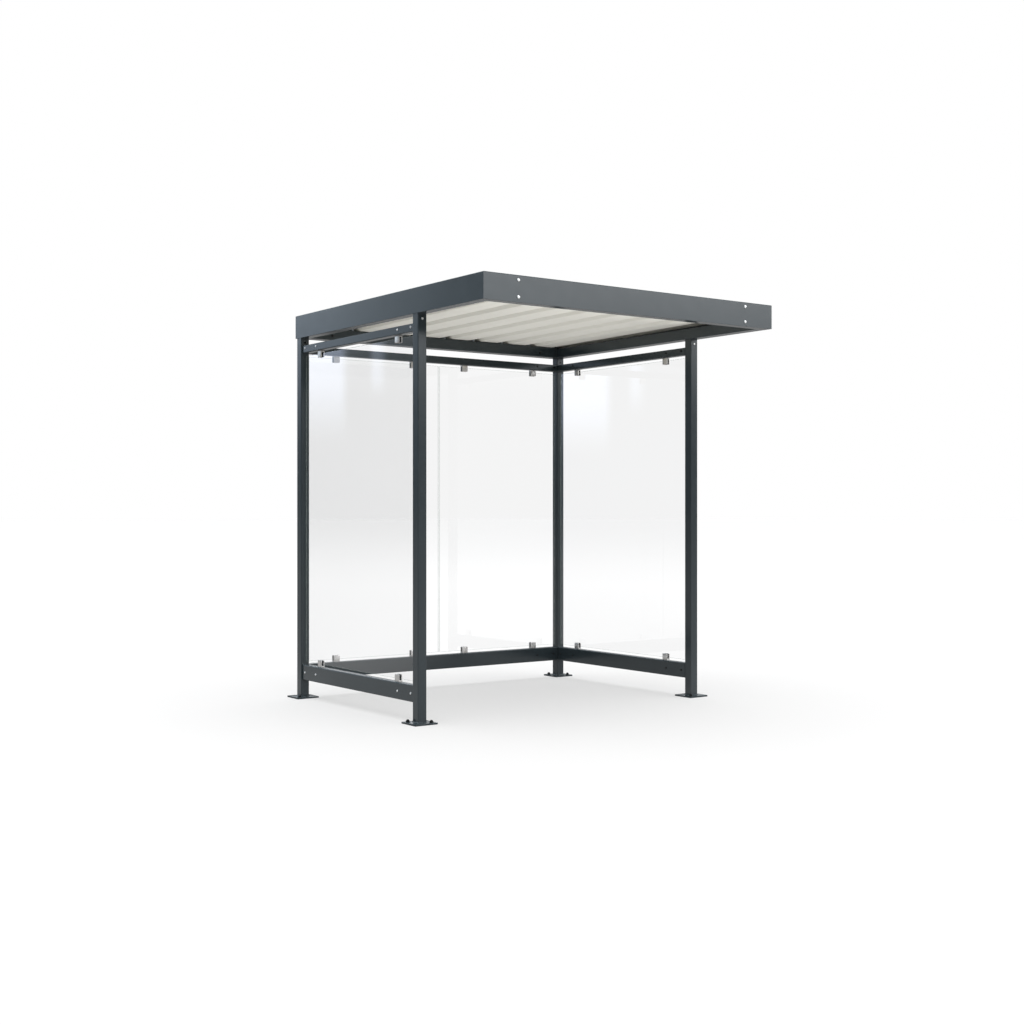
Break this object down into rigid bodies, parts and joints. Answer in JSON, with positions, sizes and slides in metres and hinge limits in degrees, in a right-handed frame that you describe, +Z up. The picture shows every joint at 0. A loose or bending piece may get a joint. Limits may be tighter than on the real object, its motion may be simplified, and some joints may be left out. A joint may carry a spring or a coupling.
{
  "type": "smoking shelter",
  "caption": "Open-fronted shelter on steel posts with base plates, clamped clear glass at the sides and back, and a flat ribbed sheet roof behind a deep fascia that overhangs the front.",
  "frame": {"origin": "on the ground, in the middle of the whole shelter's outline", "axes": "+X to the right along the open front, +Y from the open front to the back wall, +Z up"},
  "size_m": [2.297, 2.2456, 2.54],
  "materials": {
    "post_paint": "satin anthracite powder coat on posts and base plates",
    "rail_paint": "satin anthracite powder coat on rails",
    "fascia_paint": "satin anthracite powder coat on folded fascias",
    "roof_frame": "satin anthracite powder coat on the roof beams, straps and sheet supports",
    "roof_sheet": "off-white coil coating",
    "clear_glass": "clear toughened glass with polished edges",
    "clamp_steel": "fine brushed stainless steel",
    "pad_rubber": "dull black rubber"
  },
  "bodies": {
    "root": {"post_front_left": "post_paint", "post_front_right": "post_paint", "post_rear_left": "post_paint", "post_rear_right": "post_paint", "plate_front_left": "post_paint", "plate_front_right": "post_paint", "plate_rear_left": "post_paint", "plate_rear_right": "post_paint", "rail_lower_left": "rail_paint", "rail_lower_right": "rail_paint", "rail_lower_back": "rail_paint", "rail_upper_left": "rail_paint", "rail_upper_right": "rail_paint", "rail_upper_back": "rail_paint", "glass_left": "clear_glass", "glass_right": "clear_glass", "glass_back_left": "clear_glass", "glass_back_right": "clear_glass", "clamp_left_1": "clamp_steel", "clamp_left_2": "clamp_steel", "clamp_left_3": "clamp_steel", "clamp_left_4": "clamp_steel", "clamp_right_1": "clamp_steel", "clamp_right_2": "clamp_steel", "clamp_right_3": "clamp_steel", "clamp_right_4": "clamp_steel", "clamp_back_1": "clamp_steel", "clamp_back_2": "clamp_steel", "clamp_back_3": "clamp_steel", "clamp_back_4": "clamp_steel", "clamp_back_5": "clamp_steel", "clamp_back_6": "clamp_steel", "clamp_back_7": "clamp_steel", "clamp_back_8": "clamp_steel", "clamp_pads": "pad_rubber", "beam_front": "roof_frame", "beam_rear": "roof_frame", "beam_left": "roof_frame", "beam_right": "roof_frame", "fascia_front": "fascia_paint", "fascia_rear": "fascia_paint", "fascia_left": "fascia_paint", "fascia_right": "fascia_paint", "fascia_straps": "roof_frame", "sheet_supports": "roof_frame", "roof_sheet": "roof_sheet"}
  },
  "joints": []
}
